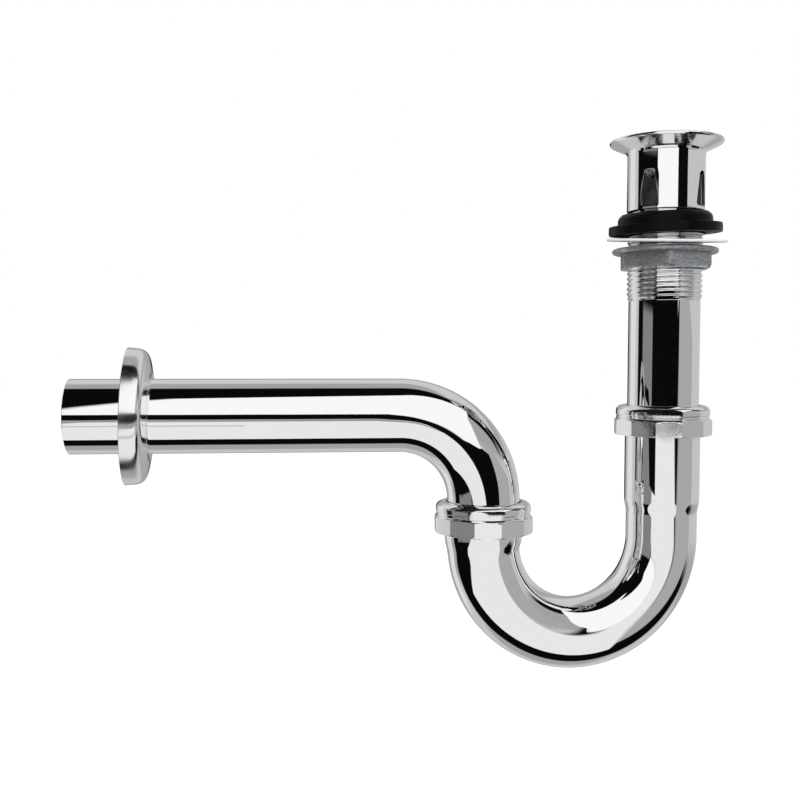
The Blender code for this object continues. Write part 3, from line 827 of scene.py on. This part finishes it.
def make_slip_washer():
    section = filleted([
        (WASHER_BORE, WASHER_HALF_AT_BORE, 0.0002), (WASHER_RADIUS, WASHER_HALF_AT_RIM, 0.0006),
        (WASHER_RADIUS, -WASHER_HALF_AT_RIM, 0.0006), (WASHER_BORE, -WASHER_HALF_AT_BORE, 0.0002)])
    mesh = lathe("slip_washer_fine", section)
    mesh.transform(Matrix.Translation(WASHER_PLACE) @ Matrix.Rotation(WASHER_LEAN, 4, "X"))
    new_object("slip_washer_fine", mesh, "clamp_rings", ["slip_washer"])
    finish_mesh(mesh, plastic)


def make_escutcheon():
    """The pressed cover ring: a turned-in collar, a crown, a round shoulder and a thin rim."""
    low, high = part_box("escutcheon")
    radius = (high.z - low.z) / 2.0 - BOX_MARGIN
    bore = TUBE_RADIUS + COVER_FIT
    collar = COVER_DEPTH - COVER_COLLAR
    shoulder = COVER_DEPTH - COVER_SHOULDER
    section = filleted([
        (bore, collar, 0.0), (bore, COVER_DEPTH - 0.0004, 0.0008), (bore + COVER_CROWN, COVER_DEPTH, 0.0030),
        (radius - 0.0006, shoulder, 0.0068), (radius, 0.0, 0.0003), (radius - COVER_WALL, 0.0, 0.0003),
        (radius - 0.0017, shoulder - 0.0012, 0.0058), (bore + COVER_CROWN, COVER_DEPTH - 0.0012, 0.0015),
        (bore + COVER_WALL, collar, 0.0)], 10)
    mesh = lathe("escutcheon_fine", section, FINE_ROUND)
    turn = Matrix.Rotation(COVER_TURN, 4, "Z") @ Matrix.Rotation(QUARTER - COVER_LEAN, 4, "Y")
    centre = (low + high) / 2.0
    place = Matrix.Translation((low.x - COVER_SINK + COVER_PIVOT, centre.y, centre.z))
    mesh.transform(place @ turn @ Matrix.Translation((0.0, 0.0, -COVER_PIVOT)))
    new_object("escutcheon_fine", mesh, "escutcheon", ["escutcheon"])
    finish_mesh(mesh, satin_chrome)


def dress_hidden_nodes():
    """Finishes for the slip joints' inner pieces, which stay as they were packed."""
    finishes = {"packing": rubber, "friction_ring": plastic, "collar": brass}
    for joint in ("inlet", "outlet"):
        for part, material in finishes.items():
            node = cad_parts[joint + "_" + part]
            node.data.materials.clear()
            node.data.materials.append(material)


def ramp_up(tree, value, edge, softness):
    """0 below the edge, 1 above it, with a soft step between."""
    node = tree.nodes.new("ShaderNodeMapRange")
    node.interpolation_type = "SMOOTHSTEP"
    node.inputs["From Min"].default_value = -softness
    node.inputs["From Max"].default_value = softness
    tree.links.new(math_node(tree, "SUBTRACT", value, edge), node.inputs["Value"])
    return node.outputs["Result"]


def band(tree, value, span):
    """1 between the two ends of a span of (low, high, softness), 0 outside them."""
    low, high, softness = span
    past_low = ramp_up(tree, value, low, softness)
    past_high = ramp_up(tree, value, high, softness)
    return math_node(tree, "SUBTRACT", past_low, past_high)


def paint(tree, below, mask, level):
    """Lay a tone over the tone below where the mask is 1."""
    node = tree.nodes.new("ShaderNodeMix")
    node.data_type = "FLOAT"
    tree.links.new(mask, node.inputs["Factor"])
    feed(tree, below, node.inputs["A"])
    feed(tree, level, node.inputs["B"])
    return node.outputs["Result"]


def in_degrees(tree, operation, first, second=None):
    return math_node(tree, "MULTIPLY", math_node(tree, operation, first, second), math.degrees(1.0))


def studio_tones(tree):
    """Tone of the studio by direction: black cloth in front, overhead and below, pale walls behind."""
    place = tree.nodes.new("ShaderNodeTexCoord")
    split = tree.nodes.new("ShaderNodeSeparateXYZ")
    tree.links.new(place.outputs["Generated"], split.inputs["Vector"])
    x, y, z = split.outputs
    front = math_node(tree, "MULTIPLY", y, -1.0)
    azimuth = in_degrees(tree, "ARCTAN2", x, front)
    height = in_degrees(tree, "ARCSINE", z)
    roll = in_degrees(tree, "ARCTAN2", z, front)
    sideways = in_degrees(tree, "ARCSINE", x)
    to_the_end = math_node(tree, "SUBTRACT", WALL_END, math_node(tree, "ABSOLUTE", azimuth))
    wall = both(tree, band(tree, height, WALL_HEIGHTS), ramp_up(tree, to_the_end, 0.0, WALL_END_SOFTNESS))
    behind = ramp_up(tree, y, BEHIND, BEHIND_SOFTNESS)
    sky = both(tree, behind, band(tree, height, SKY_HEIGHTS))
    ground = both(tree, behind, band(tree, height, GROUND_HEIGHTS))
    window = both(tree, band(tree, azimuth, WINDOW_AZIMUTHS), band(tree, height, WINDOW_HEIGHTS))
    slit = both(tree, behind, both(tree, band(tree, x, SLIT_WIDTH), band(tree, height, SLIT_HEIGHTS)))
    cloth = band(tree, azimuth, CLOTH_AZIMUTHS)
    left_wall = both(tree, band(tree, azimuth, LEFT_WALL_AZIMUTHS), band(tree, height, LEFT_WALL_HEIGHTS))
    narrow = band(tree, sideways, CLOTH_SIDES)
    overhead = both(tree, narrow, band(tree, roll, OVERHEAD_ROLLS))
    underfoot = both(tree, narrow, band(tree, roll, UNDERFOOT_ROLLS))
    tone = CORNER_TONE
    for mask, level in ((wall, WALL_TONE), (sky, SKY_TONE), (ground, WALL_TONE), (window, WINDOW_TONE),
                        (slit, CLOTH_TONE), (cloth, CLOTH_TONE), (left_wall, LEFT_WALL_TONE),
                        (overhead, CLOTH_TONE), (underfoot, CLOTH_TONE)):
        tone = paint(tree, tone, mask, level)
    return tone


def make_world():
    """The studio as mirrors see it, an even soft light for the rest and white for the camera."""
    world = bpy.data.worlds.new("Studio")
    bpy.context.scene.world = world
    world.use_nodes = True
    tree = world.node_tree
    tree.nodes.clear()
    light_path = tree.nodes.new("ShaderNodeLightPath")
    mirrored = math_node(tree, "MAXIMUM", light_path.outputs["Is Glossy Ray"],
                         light_path.outputs["Is Transmission Ray"])
    level = paint(tree, SOFT_TONE, mirrored, studio_tones(tree))
    seen = paint(tree, level, light_path.outputs["Is Camera Ray"], BACKDROP_TONE)
    background = tree.nodes.new("ShaderNodeBackground")
    output = tree.nodes.new("ShaderNodeOutputWorld")
    tree.links.new(seen, background.inputs["Color"])
    tree.links.new(background.outputs["Background"], output.inputs["Surface"])


def panel_material(name, tone):
    """A glow of one tone that fades out with the mesh's strength attribute."""
    material = bpy.data.materials.new(name)
    material.use_nodes = True
    tree = material.node_tree
    tree.nodes.clear()
    read = tree.nodes.new("ShaderNodeAttribute")
    read.attribute_name = "strength"
    clear = tree.nodes.new("ShaderNodeBsdfTransparent")
    glow = tree.nodes.new("ShaderNodeEmission")
    glow.inputs["Strength"].default_value = tone
    mix = tree.nodes.new("ShaderNodeMixShader")
    output = tree.nodes.new("ShaderNodeOutputMaterial")
    tree.links.new(read.outputs["Fac"], mix.inputs["Fac"])
    tree.links.new(clear.outputs["BSDF"], mix.inputs[1])
    tree.links.new(glow.outputs["Emission"], mix.inputs[2])
    tree.links.new(mix.outputs["Shader"], output.inputs["Surface"])
    return material


def make_panel(name, tone, depth, corners, rim=0.010, lean=0.0):
    """A flat panel in front that only reflections see, with soft edges.

    Its corners are (x, z) in order round it, and it lies at y = -depth + lean * z. Its edge fades
    over a rim on both sides of that outline.
    """
    middle = sum((Vector(corner) for corner in corners), Vector((0.0, 0.0))) / len(corners)
    points, strengths = [], []
    for reach, strength in ((rim, 0.0), (-rim, 1.0)):
        for corner in corners:
            flat = Vector(corner)
            flat += (flat - middle).normalized() * reach
            points.append((flat.x, lean * flat.y - depth, flat.y))
            strengths.append(strength)
    count = len(corners)
    faces = [tuple(range(count, 2 * count))]
    for index in range(count):
        after = (index + 1) % count
        faces.append((index, after, count + after, count + index))
    mesh = bpy.data.meshes.new(name)
    mesh.from_pydata(points, [], faces)
    mesh.attributes.new("strength", "FLOAT", "POINT").data.foreach_set("value", strengths)
    mesh.materials.append(panel_material(name, tone))
    panel = bpy.data.objects.new(name, mesh)
    bpy.context.scene.collection.objects.link(panel)
    panel.visible_camera = False
    panel.visible_diffuse = False
    panel.visible_shadow = False


def make_panels():
    """Two softboxes, one above the other, a grey wall to the right, and dark cards and rods near the trap."""
    make_panel("studio_upper_panel", UPPER_TONE, depth=0.375, lean=0.180, corners=[
        (-0.388, -0.146), (0.155, -0.146), (0.155, -0.050), (0.45, 0.36), (1.940, 1.940), (-0.283, 0.355)])
    make_panel("studio_lower_panel", LOWER_TONE, depth=0.332, lean=-0.1515, corners=[
        (-0.292, -0.154), (-0.721, -0.754), (0.309, -0.708), (0.086, -0.152)])
    make_panel("studio_right_wall", RIGHT_WALL_TONE, depth=0.373, rim=0.02, corners=[
        (0.247, 0.042), (0.106, -0.579), (3.0, -0.579), (3.0, 0.042)])
    make_panel("studio_block", CLOTH_TONE, depth=0.0618, rim=0.0004, corners=[
        (-0.110, -0.1240), (-0.110, -0.1332), (-0.098, -0.144), (-0.093, -0.152), (-0.086, -0.165),
        (-0.047, -0.167), (-0.047, -0.1262), (-0.062, -0.1262), (-0.069, -0.1290), (-0.082, -0.1305),
        (-0.090, -0.1327), (-0.099, -0.1285)])
    make_panel("studio_card", CLOTH_TONE, depth=0.030, rim=0.0003, corners=[
        (-0.0354, -0.0645), (-0.0354, -0.1215), (0.0070, -0.1215), (0.0070, -0.0645)])
    make_panel("studio_post", CLOTH_TONE, depth=0.030, rim=0.0003, corners=[
        (0.0027, 0.004), (0.0027, -0.0425), (0.0173, -0.0425), (0.0173, 0.004)])
    make_panel("studio_rod", CLOTH_TONE, depth=0.062, rim=0.0005, corners=[
        (-0.275, -0.1135), (-0.275, -0.1260), (-0.130, -0.1260), (-0.101, -0.1371), (-0.097, -0.1300),
        (-0.125, -0.1150)])
    make_panel("studio_rod_edge", ROD_TONE, depth=0.0621, rim=0.0005, corners=[
        (-0.275, -0.1263), (-0.275, -0.1315), (-0.130, -0.1315), (-0.106, -0.1395), (-0.102, -0.1380),
        (-0.130, -0.1263)])
    make_panel("studio_rod_low", FAINT_TONE, depth=0.062, rim=0.0005, corners=[
        (-0.275, -0.1405), (-0.275, -0.1445), (-0.190, -0.1445), (-0.190, -0.1405)])


def make_floor():
    """A pale floor that reads as white and keeps a soft shadow."""
    mesh = bpy.data.meshes.new("studio_floor")
    level = waste_low.z - FLOOR_DROP
    corners = [(FLOOR_REACH * x, FLOOR_REACH * y, level) for x, y in ((-1, -1), (1, -1), (1, 1), (-1, 1))]
    mesh.from_pydata(corners, [], [(0, 1, 2, 3)])
    floor = bpy.data.objects.new("studio_floor", mesh)
    bpy.context.scene.collection.objects.link(floor)
    material = bpy.data.materials.new("Studio_floor")
    material.use_nodes = True
    tree = material.node_tree
    tree.nodes.clear()
    light_path = tree.nodes.new("ShaderNodeLightPath")
    diffuse = tree.nodes.new("ShaderNodeBsdfDiffuse")
    diffuse.inputs["Color"].default_value = FLOOR_COLOUR
    glow = tree.nodes.new("ShaderNodeEmission")
    glow.inputs["Strength"].default_value = FLOOR_GLOW
    added = tree.nodes.new("ShaderNodeAddShader")
    tree.links.new(diffuse.outputs["BSDF"], added.inputs[0])
    tree.links.new(glow.outputs["Emission"], added.inputs[1])
    mix = tree.nodes.new("ShaderNodeMixShader")
    tree.links.new(light_path.outputs["Is Camera Ray"], mix.inputs["Fac"])
    tree.links.new(diffuse.outputs["BSDF"], mix.inputs[1])
    tree.links.new(added.outputs["Shader"], mix.inputs[2])
    output = tree.nodes.new("ShaderNodeOutputMaterial")
    tree.links.new(mix.outputs["Shader"], output.inputs["Surface"])
    mesh.materials.append(material)
    floor.visible_glossy = False


def make_lamp(name, location, size, power):
    """A soft lamp aimed at the middle of the trap."""
    lamp = bpy.data.lights.new(name, "AREA")
    lamp.shape = "RECTANGLE"
    lamp.size, lamp.size_y = size
    lamp.energy = power
    item = bpy.data.objects.new(name, lamp)
    bpy.context.scene.collection.objects.link(item)
    item.location = location
    aim = Vector((-0.1, 0.0, -0.1)) - Vector(location)
    item.rotation_euler = aim.to_track_quat("-Z", "Y").to_euler()
    item.visible_glossy = False


def make_camera():
    data = bpy.data.cameras.new("Camera")
    data.lens = LENS
    data.sensor_width = 36.0
    data.clip_start = 0.01
    camera = bpy.data.objects.new("Camera", data)
    bpy.context.scene.collection.objects.link(camera)
    yaw = Matrix.Rotation(CAMERA_YAW, 4, "Z")
    pitch = Matrix.Rotation(CAMERA_PITCH, 4, "X")
    roll = Matrix.Rotation(CAMERA_ROLL, 4, "Y")
    upright = Matrix.Rotation(QUARTER, 4, "X")
    camera.matrix_world = Matrix.Translation(CAMERA_PLACE) @ yaw @ pitch @ roll @ upright
    bpy.context.scene.camera = camera


make_camera()
make_world()
make_panels()
make_floor()
make_lamp("Key", location=(-0.9, -1.1, 1.2), size=(1.0, 1.0), power=14.0)
make_lamp("Fill", location=(1.0, -0.8, 0.2), size=(0.8, 1.2), power=5.0)
make_waste()
make_thread()
make_strainer()
make_tailpiece()
make_gasket()
make_slip_washer()
make_lock_nut()
make_slip_nut("inlet_nut", Vector((0.0, 0.0, 0.0)), "inlet_nut")
make_slip_nut("outlet_nut", outlet_axis, "outlet_nut")
make_u_bend()
make_outlet_pipe()
make_escutcheon()
dress_hidden_nodes()
bpy.context.scene.view_settings.view_transform = "Standard"
